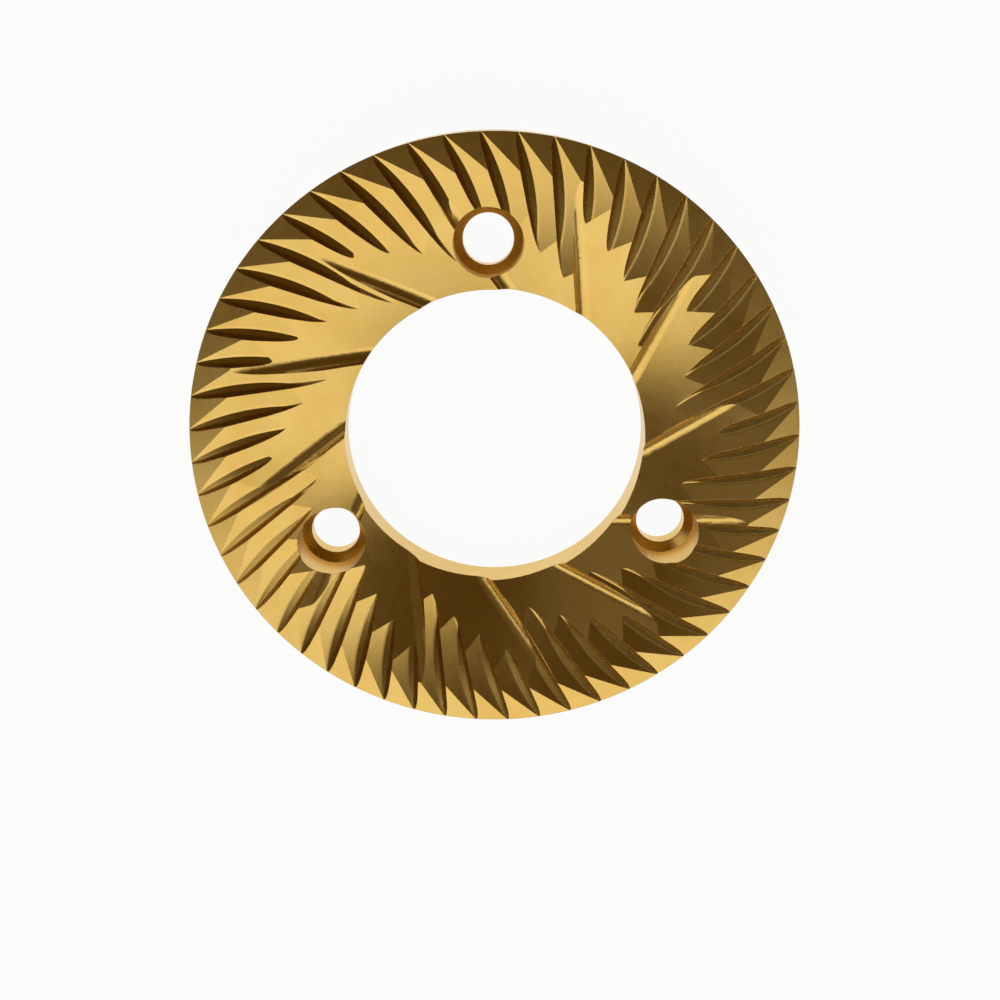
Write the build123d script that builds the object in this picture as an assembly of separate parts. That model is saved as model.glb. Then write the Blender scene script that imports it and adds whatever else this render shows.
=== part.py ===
from build123d import *
import os
from math import asin, cos, degrees, radians, sin, tan

# A flat grinder burr: a hardened steel ring with fine grinding teeth round its rim, feed ramps
# that lead the beans from the bore out to them, and countersunk screw holes.
# Millimetres and degrees. It lies on its plain back face, z = 0, with the teeth up and the bore
# on the Z axis. Clock angles run clockwise from +Y, as seen from the toothed side.

# Ring
outer_diameter = 75.0
bore_diameter = 38.0
thickness = 9.0            # back face to the flat lands at the rim
back_chamfer = 0.6         # on the bore and the rim, at the back face

# Screw holes
hole_count = 3
hole_circle = 49.5         # diameter of the circle through their centres
hole_diameter = 6.3
head_diameter = 8.5        # straight recess above the seat
seat_height = 3.1          # top edge of the conical seat, above the back face
seat_angle = 45.0          # seat against the axis

# Grinding teeth: grooves that start as a point at the rim and deepen inwards
tooth_count = 56
tooth_clock = 5.1          # where the first groove crosses the rim
tooth_skew = 14.9          # groove against the radius, at the rim
tooth_fall = 10.1          # groove bottom, below the horizontal
tooth_face_angle = 79.8    # steep cutting face, across the groove
tooth_back_angle = 19.0    # long back of the tooth, across the groove
tooth_root_radius = 0.45   # between the two
tooth_overrun = 0.8        # the sharp corner of the groove would start this far outside the rim

# Feed ramps: a conical floor that climbs clockwise and drops at each breaker face
ramp_count = 12
ramp_clock = 14.0          # where the first face would cross the rim
ramp_skew = 18.6           # face against the radius, at the rim
ramp_slope = 22.1          # floor, from the bore up towards the rim
ramp_step = 1.45           # drop at each face
ramp_bore_height = 3.86    # floor at the bore, at the foot of a face
ramp_face_angle = 74.0     # breaker face, above the horizontal
ramp_root_radius = 1.5     # between the face and the floor

cutter_margin = 1.0        # how far a cutter reaches past what it cuts

outer_radius = outer_diameter / 2
bore_radius = bore_diameter / 2
ramp_pitch = 360 / ramp_count
up = Vector(0, 0, 1)


def at_clock(radius, clock, z=0.0):
    return Vector(radius * sin(radians(clock)), radius * cos(radians(clock)), z)


def turned(shape, clock):
    return Rot(0, 0, -clock) * shape


def swing(skew):
    # clock angle from the rim to the bore along a line that has this skew at the rim
    offset = outer_radius * sin(radians(skew))
    return degrees(asin(offset / bore_radius)) - skew


def ring_blank():
    seated = (Align.CENTER, Align.CENTER, Align.MIN)
    ring = Cylinder(outer_radius, thickness, align=seated) - Cylinder(bore_radius, thickness, align=seated)
    return chamfer(ring.edges().group_by(Axis.Z)[0], back_chamfer)


def screw_hole():
    hole_radius = hole_diameter / 2
    head_radius = head_diameter / 2
    seat_foot = seat_height - (head_radius - hole_radius) / tan(radians(seat_angle))
    outline = Polyline(
        (0, -cutter_margin),
        (hole_radius, -cutter_margin),
        (hole_radius, seat_foot),
        (head_radius, seat_height),
        (head_radius, thickness + cutter_margin),
        (0, thickness + cutter_margin),
        close=True,
    )
    return revolve(make_face(Plane.XZ * outline), Axis.Z)


def tooth_groove():
    # cutter for the first groove: a rounded V that runs down its bottom line
    heading = tooth_clock - tooth_skew
    fall = radians(tooth_fall)
    face_angle = radians(180 - tooth_face_angle)
    back_angle = radians(tooth_back_angle)
    length = outer_radius - bore_radius
    height = length * sin(fall) + cutter_margin
    face_top = (height / tan(face_angle), height)
    back_top = (height / tan(back_angle), height)
    outline = FilletPolyline(face_top, (0, 0), back_top, radius=tooth_root_radius)
    section = make_face(outline + Line(back_top, face_top))
    start = at_clock(outer_radius, tooth_clock, thickness) + at_clock(tooth_overrun, heading)
    downhill = at_clock(-cos(fall), heading, -sin(fall))
    across = at_clock(1, heading + 90)
    return extrude(Plane(start, x_dir=across, z_dir=downhill) * section, length)


def ramp_floor(radius, clock):
    # height of the first ramp's floor
    climb = (clock - ramp_clock - swing(ramp_skew)) * ramp_step / ramp_pitch
    return ramp_bore_height + (radius - bore_radius) * tan(radians(ramp_slope)) + climb


def feed_ramp():
    # cutter for the first ramp: all that lies above its floor, clockwise of its breaker face
    first = ramp_clock - ramp_pitch / 3
    span = swing(ramp_skew) + 2 * ramp_pitch
    lead = ramp_step * ramp_count
    rails = []
    for radius in (bore_radius - cutter_margin, outer_radius):
        rail = turned(Helix(lead, lead * span / 360, radius, lefthand=True), first - 90)
        rails.append(Pos(0, 0, ramp_floor(radius, first)) * rail)
    floor = Face.make_surface_from_curves(rails[0].edge(), rails[1].edge())
    above_floor = extrude(floor, thickness, dir=up)

    inner_clock = ramp_clock + swing(ramp_skew)
    inner_foot = at_clock(bore_radius, inner_clock, ramp_floor(bore_radius, inner_clock))
    outer_foot = at_clock(outer_radius, ramp_clock, ramp_floor(outer_radius, ramp_clock))
    along = (inner_foot - outer_foot).normalized()
    clockwise = up.cross(along).normalized()
    rising = up * sin(radians(ramp_face_angle)) - clockwise * cos(radians(ramp_face_angle))
    face = Plane((inner_foot + outer_foot) / 2, x_dir=along, z_dir=rising.cross(along))
    past_face = face * Box(
        4 * outer_radius, 4 * outer_radius, 2 * outer_radius, align=(Align.CENTER, Align.CENTER, Align.MIN)
    )
    cutter = above_floor & past_face
    foot = cutter.edges().sort_by_distance(face.origin)[0]
    return fillet(foot, ramp_root_radius)


def around(cutter, count):
    return [turned(cutter, number * 360 / count) for number in range(count)]


burr = ring_blank()
burr -= around(feed_ramp(), ramp_count)
burr -= around(tooth_groove(), tooth_count)
burr -= around(Pos(0, hole_circle / 2, 0) * screw_hole(), hole_count)

os.makedirs("parts", exist_ok=True)
export_step(burr, "parts/burr.step")
print("burr volume", round(burr.volume), "mm3, faces", len(burr.faces()), "solids", len(burr.solids()))
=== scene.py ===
from math import cos, pi, radians, sin, tan

import bmesh
import bpy
from mathutils import Matrix, Vector


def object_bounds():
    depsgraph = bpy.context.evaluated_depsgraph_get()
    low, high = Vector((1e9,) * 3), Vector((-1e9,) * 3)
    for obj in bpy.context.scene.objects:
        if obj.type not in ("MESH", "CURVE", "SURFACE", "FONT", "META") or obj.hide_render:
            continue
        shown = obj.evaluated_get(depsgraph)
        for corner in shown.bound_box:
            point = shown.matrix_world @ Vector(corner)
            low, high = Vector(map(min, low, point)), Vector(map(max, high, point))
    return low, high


# A gold coated flat grinder burr, lying on its back with the teeth up.
# Metres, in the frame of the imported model: +Z out of the teeth, +Y through one screw hole.

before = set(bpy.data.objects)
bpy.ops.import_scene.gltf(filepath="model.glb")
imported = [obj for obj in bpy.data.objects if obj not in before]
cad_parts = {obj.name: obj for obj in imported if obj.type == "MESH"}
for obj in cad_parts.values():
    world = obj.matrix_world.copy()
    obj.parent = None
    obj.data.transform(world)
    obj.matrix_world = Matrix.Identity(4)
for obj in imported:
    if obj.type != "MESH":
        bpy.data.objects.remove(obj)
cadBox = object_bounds()
scene = bpy.context.scene
scene.view_settings.view_transform = "Standard"
mm = 0.001


def hexColour(text):
    # sRGB hex to linear RGBA
    parts = [int(text[i:i + 2], 16) / 255 for i in (1, 3, 5)]
    return [c / 12.92 if c <= 0.04045 else ((c + 0.055) / 1.055) ** 2.4 for c in parts] + [1.0]


def addNode(tree, kind, *terms, **settings):
    # terms fill the sockets in order, settings go to the socket or the property of that name
    node = tree.nodes.new("ShaderNode" + kind)
    inputs = dict(enumerate(terms))
    for name, value in settings.items():
        label = name.replace("_", " ")
        if label in node.inputs:
            inputs[label] = value
        else:
            setattr(node, name, value)
    for target, value in inputs.items():
        if isinstance(value, bpy.types.Node):
            value = value.outputs[0]
        if isinstance(value, bpy.types.NodeSocket):
            tree.links.new(value, node.inputs[target])
        else:
            node.inputs[target].default_value = value
    return node


def newMaterial(name):
    material = bpy.data.materials.new(name)
    material.use_nodes = True
    material.node_tree.nodes.clear()
    return material, material.node_tree


# Burr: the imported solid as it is, its faces carry their own normals
burrLook = {
    "gold": ("#E6BF66", "#ECC873"),     # the coating's tint drifts between these
    "tintSize": 7.0 * mm,
    "roughness": (0.265, 0.295),
    "cloudSize": 1.6 * mm,              # patches of rougher and smoother coating
    "noiseRange": (0.3, 0.7),           # most of a noise's values lie between these
    "paleGoldWearAndHighlight": "#F2DCA0",              # paler gold of sharp edges: worn coating, and a painted highlight
    "edgeWidth": 0.08 * mm,
    "edgeSamples": 4,
    "edgeTurn": (0.995, 0.93),          # cosine of the rounding, where the pale gold starts and is full
    "wearAndHighlightShare": 0.55,                  # how far an edge turns to that pale gold, wear and painted highlight together
    "streakWidth": 0.2 * mm,            # real grinding marks are a tenth of this, too fine to show
    "streakLength": 6.0 * mm,
    "streakDepth": 0.0002 * mm,
    "streakShare": 0.35,                # how much the marks count in the roughness
    "teeth": 56,
    "toothClock": radians(5.1),         # where a groove crosses the rim, clockwise from +Y
    "toothSkew": radians(14.9),         # groove against the radius
    "toothFall": radians(10.1),         # groove bottom, below the horizontal
    "toothBack": radians(19.0),         # long back of the tooth, across the groove
    "toothOverrun": 0.8 * mm,           # the groove would start this far outside the rim
    "rootWidth": 0.55 * mm,             # the rounded root lies within this of the groove's line
    "rootHeight": 0.6 * mm,             # and within this above the back
    "rootMargin": 0.0037,               # radians, the cutting face stays with its own groove
    "backPlay": 0.03 * mm,              # a point this near to the back's plane is on it
    "squarePlay": 0.02,                 # sine of how far a face may be from square to the groove
    "steepest": 0.2,                    # upward share of the normal, below which a face is a wall
    "hollowWidth": 1.5 * mm,            # the tooth back is hollow over this width beside its root
    "hollowSoft": 0.35 * mm,            # it first curves up over this much of that width
    "hollowRadius": 1.6 * mm,           # radius of that curve
    "hollowSlope": 1.1,                 # and then it climbs straight up to the root
    "hollowMiddle": 6.0 * mm,           # inwards of the rim, where the hollow is widest
    "hollowReach": 8.5 * mm,            # it would run out this far on each side of there
    "wheelRadius": 67.0 * mm,           # the wheel leaves the groove hollow along its length as well
    "wheelPlace": 6.0 * mm,             # inwards of the rim, where that hollow is level with the solid
}

# Titanium nitride on ground tool steel: a thin hard gold skin that follows each cut of the wheel,
# so the eye sees satin reflections, soft hollows beside the tooth roots and bright edges
material, tree = newMaterial("titaniumNitrideCoatedSteel")
coords = addNode(tree, "TexCoord").outputs["Object"]
geometry = addNode(tree, "NewGeometry")
place = addNode(tree, "SeparateXYZ", coords).outputs
facing = addNode(tree, "SeparateXYZ", geometry.outputs["True Normal"]).outputs

# where a point lies in its own groove: across it from the root, and along it from the rim
rim = (cadBox[1].x - cadBox[0].x) / 2
lineOffset = rim * sin(burrLook["toothSkew"])
lineLength = rim * cos(burrLook["toothSkew"])
lineStart = burrLook["toothClock"] - burrLook["toothSkew"]
flat = addNode(tree, "VectorMath", coords, (1.0, 1.0, 0.0), operation="MULTIPLY")
radius = addNode(tree, "VectorMath", flat, operation="LENGTH").outputs["Value"]
clock = addNode(tree, "Math", place["X"], place["Y"], operation="ARCTAN2")
lag = addNode(tree, "Math", lineOffset, radius, operation="DIVIDE")
lag = addNode(tree, "Math", lag, operation="ARCSINE")
turn = addNode(tree, "Math", clock, lag, operation="SUBTRACT")
turn = addNode(tree, "Math", turn, lineStart - burrLook["rootMargin"], operation="SUBTRACT")
turn = addNode(tree, "Math", turn, 2 * pi / burrLook["teeth"], operation="FLOORED_MODULO")
turn = addNode(tree, "Math", turn, burrLook["rootMargin"], operation="SUBTRACT")
lean = addNode(tree, "Math", turn, lag, operation="ADD")
sine = addNode(tree, "Math", lean, operation="SINE")
cosine = addNode(tree, "Math", lean, operation="COSINE")
across = addNode(tree, "Math", radius, sine, -lineOffset, operation="MULTIPLY_ADD")
inward = addNode(tree, "Math", radius, cosine, operation="MULTIPLY")
along = addNode(tree, "Math", lineLength, inward, operation="SUBTRACT")

# a groove's faces are square to its bottom line
heading = addNode(tree, "Math", clock, lean, operation="SUBTRACT")
sine = addNode(tree, "Math", heading, operation="SINE")
cosine = addNode(tree, "Math", heading, operation="COSINE")
outwards = addNode(tree, "Math", facing["X"], sine, operation="MULTIPLY")
outwards = addNode(tree, "Math", facing["Y"], cosine, outwards, operation="MULTIPLY_ADD")
outwards = addNode(tree, "Math", outwards, cos(burrLook["toothFall"]), operation="MULTIPLY")
uphill = addNode(tree, "Math", facing["Z"], sin(burrLook["toothFall"]), outwards, operation="MULTIPLY_ADD")
isSquare = addNode(tree, "Math", uphill, 0.0, burrLook["squarePlay"], operation="COMPARE")
isOpen = addNode(tree, "Math", facing["Z"], burrLook["steepest"], operation="GREATER_THAN")

# its back lies in one plane above that line, and its root close to the line
fall = tan(burrLook["toothFall"])
topOfLine = cadBox[1].z - burrLook["toothOverrun"] * fall
bottom = addNode(tree, "Math", along, -fall, topOfLine, operation="MULTIPLY_ADD")
rise = addNode(tree, "Math", place["Z"], bottom, operation="SUBTRACT")
rise = addNode(tree, "Math", rise, cos(burrLook["toothFall"]), operation="MULTIPLY")
aboveBack = addNode(tree, "Math", across, -tan(burrLook["toothBack"]), rise, operation="MULTIPLY_ADD")
onBack = addNode(tree, "Math", aboveBack, 0.0, burrLook["backPlay"], operation="COMPARE")
inRoot = addNode(tree, "Math", across, 0.0, burrLook["rootWidth"], operation="COMPARE")
nearRoot = addNode(tree, "Math", aboveBack, 0.0, burrLook["rootHeight"], operation="COMPARE")
inRoot = addNode(tree, "Math", inRoot, nearRoot, operation="MULTIPLY")
isGroove = addNode(tree, "Math", onBack, inRoot, operation="MAXIMUM")
isGroove = addNode(tree, "Math", isGroove, isSquare, operation="MULTIPLY")
isGroove = addNode(tree, "Math", isGroove, isOpen, operation="MULTIPLY")

# the hollow left by the wheel: widest half way along the groove, and running out at both ends
offMiddle = addNode(tree, "Math", along, burrLook["hollowMiddle"], operation="SUBTRACT")
offMiddle = addNode(tree, "Math", offMiddle, burrLook["hollowReach"], operation="DIVIDE")
offMiddle = addNode(tree, "Math", offMiddle, 2.0, operation="POWER")
widest = burrLook["hollowWidth"]
width = addNode(tree, "Math", offMiddle, -widest, widest, operation="MULTIPLY_ADD")
intoHollow = addNode(tree, "Math", width, across, operation="SUBTRACT")
intoHollow = addNode(tree, "Math", intoHollow, 0.0, operation="MAXIMUM")
curved = addNode(tree, "Math", intoHollow, burrLook["hollowSoft"], operation="MINIMUM")
climbing = addNode(tree, "Math", intoHollow, curved, operation="SUBTRACT")
curved = addNode(tree, "Math", curved, 2.0, operation="POWER")
curved = addNode(tree, "Math", curved, 2 * burrLook["hollowRadius"], operation="DIVIDE")
rootRise = addNode(tree, "Math", climbing, burrLook["hollowSlope"], curved, operation="MULTIPLY_ADD")
offWheel = addNode(tree, "Math", along, burrLook["wheelPlace"], operation="SUBTRACT")
offWheel = addNode(tree, "Math", offWheel, 2.0, operation="POWER")
depth = addNode(tree, "Math", offWheel, 0.5 / burrLook["wheelRadius"], rootRise, operation="MULTIPLY_ADD")

# fine marks of the wheel: along the grooves, and round the ring on the lands and ramps
grooveX = addNode(tree, "Math", across, burrLook["streakWidth"], operation="DIVIDE")
grooveY = addNode(tree, "Math", along, burrLook["streakLength"], operation="DIVIDE")
grooveWay = addNode(tree, "CombineXYZ", grooveX, grooveY)
ringX = addNode(tree, "Math", radius, burrLook["streakWidth"], operation="DIVIDE")
ringY = addNode(tree, "Math", clock, rim / burrLook["streakLength"], operation="MULTIPLY")
ringWay = addNode(tree, "CombineXYZ", ringX, ringY)
grooveStreaks = addNode(tree, "TexNoise", Vector=grooveWay, Scale=1.0, Detail=0.0)
ringStreaks = addNode(tree, "TexNoise", Vector=ringWay, Scale=1.0, Detail=0.0)
streaks = addNode(tree, "Mix", isGroove, A=ringStreaks, B=grooveStreaks)

rounded = addNode(tree, "Bevel", samples=burrLook["edgeSamples"], Radius=burrLook["edgeWidth"])
marked = addNode(tree, "Bump", Height=streaks, Distance=burrLook["streakDepth"], Normal=rounded)
hollowed = addNode(tree, "Bump", Strength=isGroove, Height=depth, Distance=1.0, Normal=marked)

# sharp edges are painted paler, partly as coating worn off and partly as a painted highlight: there the
# rounded normal leaves the plain one
alike = addNode(tree, "VectorMath", rounded, geometry.outputs["Normal"], operation="DOT_PRODUCT")
edgeWearAndHighlight = addNode(tree, "MapRange", alike.outputs["Value"],
               From_Min=burrLook["edgeTurn"][0], From_Max=burrLook["edgeTurn"][1],
               To_Min=0.0, To_Max=burrLook["wearAndHighlightShare"])

tint = addNode(tree, "TexNoise", Vector=coords, Scale=1 / burrLook["tintSize"], Detail=1.0)
tint = addNode(tree, "ValToRGB", tint)
for stop, position, gold in zip(tint.color_ramp.elements, burrLook["noiseRange"], burrLook["gold"]):
    stop.position = position
    stop.color = hexColour(gold)
# on sharp edges the tint turns to pale gold: partly worn coating, partly a painted highlight
colour = addNode(tree, "MixRGB", edgeWearAndHighlight, tint, hexColour(burrLook["paleGoldWearAndHighlight"]))
cloud = addNode(tree, "TexNoise", Vector=coords, Scale=1 / burrLook["cloudSize"], Detail=1.0)
cloud = addNode(tree, "Mix", burrLook["streakShare"], A=cloud, B=streaks)
satin = addNode(tree, "MapRange", cloud,
                From_Min=burrLook["noiseRange"][0], From_Max=burrLook["noiseRange"][1],
                To_Min=burrLook["roughness"][0], To_Max=burrLook["roughness"][1])
shader = addNode(tree, "BsdfPrincipled", Base_Color=colour, Metallic=1.0, Roughness=satin, Normal=hollowed)
addNode(tree, "OutputMaterial", Surface=shader)

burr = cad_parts["burr"]
burr.material_slots[0].material = material
print("burr:", len(burr.data.polygons), "faces")


# Floor and light: a dim warm room with a white horizon, and soft oval panels in front, at the side and above
stageLook = {
    "floorSize": 6.0,
    "floorDrop": 0.02 * mm,
    "floorColour": "#F6F5F3",
    "floorGlow": 0.95,                  # share of plain white that the camera and reflections see in it
    "roomTop": "#4B3912",
    "horizon": "#FFFFFF",
    "horizonEnd": (0.15, 0.30),         # sine of the height where the white starts and stops fading
    "panels": {
        "frontWall": {
            "place": (0.0, -0.18, 0.365), "aim": (0.0, 0.0, 0.365),
            "size": (0.76, 0.47), "glow": 1.05,
        },
        "sidePanel": {
            "place": (-0.40, 0.30, 0.33), "aim": (0.0, 0.0, 0.0),
            "size": (0.45, 0.25), "glow": 1.0,
        },
        "topPanel": {
            "place": (-0.11, 0.20, 0.60), "aim": (-0.11, 0.20, 0.0),
            "size": (0.34, 0.22), "glow": 0.14,
        },
    },
}

# matt white paint, so the floor is plain and keeps the burr's shadow
material, tree = newMaterial("paleFloor")
paths = addNode(tree, "LightPath").outputs
seen = addNode(tree, "Math", paths["Is Camera Ray"], paths["Is Glossy Ray"], operation="MAXIMUM")
seen = addNode(tree, "Math", seen, paths["Is Transmission Ray"], operation="MAXIMUM")
seen = addNode(tree, "Math", seen, stageLook["floorGlow"], operation="MULTIPLY")
paint = addNode(tree, "BsdfDiffuse", Color=hexColour(stageLook["floorColour"]))
white = addNode(tree, "Emission", Strength=1.0)
addNode(tree, "OutputMaterial", Surface=addNode(tree, "MixShader", seen, paint, white))

bm = bmesh.new()
bmesh.ops.create_grid(bm, x_segments=1, y_segments=1, size=stageLook["floorSize"],
                      matrix=Matrix.Translation((0.0, 0.0, cadBox[0].z - stageLook["floorDrop"])))
mesh = bpy.data.meshes.new("floor")
bm.to_mesh(mesh)
bm.free()
mesh.materials.append(material)
floor = bpy.data.objects.new("floor", mesh)
scene.collection.objects.link(floor)

world = bpy.data.worlds.new("softRoom")
scene.world = world
world.use_nodes = True
tree = world.node_tree
tree.nodes.clear()
height = addNode(tree, "SeparateXYZ", addNode(tree, "TexCoord").outputs["Generated"]).outputs["Z"]
fade = addNode(tree, "ValToRGB", height)
for stop, position, name in zip(fade.color_ramp.elements, stageLook["horizonEnd"], ("horizon", "roomTop")):
    stop.position = position
    stop.color = hexColour(stageLook[name])
addNode(tree, "OutputWorld", Surface=addNode(tree, "Background", Color=fade, Strength=1.0))

for name, look in stageLook["panels"].items():
    lamp = bpy.data.lights.new(name, "AREA")
    lamp.shape = "ELLIPSE"
    lamp.size, lamp.size_y = look["size"]
    area = pi / 4 * lamp.size * lamp.size_y
    lamp.energy = look["glow"] * pi * area    # a glow of 1 mirrors as white
    panel = bpy.data.objects.new(name, lamp)
    panel.location = look["place"]
    panel.rotation_euler = (Vector(look["aim"]) - panel.location).to_track_quat("-Z", "Y").to_euler()
    panel.visible_camera = False
    scene.collection.objects.link(panel)
print("stage: floor, room and", len(stageLook["panels"]), "panels")


# Camera: looks down on the burr at the photograph's viewing angle
view = {
    "place": (0.445 * mm, 40.534 * mm, 149.223 * mm),
    "turn": (-18.582, -0.569, -1.766),
    "lens": 42.57,
    "sensor": 36.0,
    "nearest": 10.0 * mm,
}
camera = bpy.data.cameras.new("camera")
camera.lens = view["lens"]
camera.sensor_width = view["sensor"]
camera.clip_start = view["nearest"]
cameraObject = bpy.data.objects.new("camera", camera)
cameraObject.location = view["place"]
cameraObject.rotation_euler = [radians(a) for a in view["turn"]]
scene.collection.objects.link(cameraObject)
scene.camera = cameraObject
print("camera:", view["lens"], "mm lens")
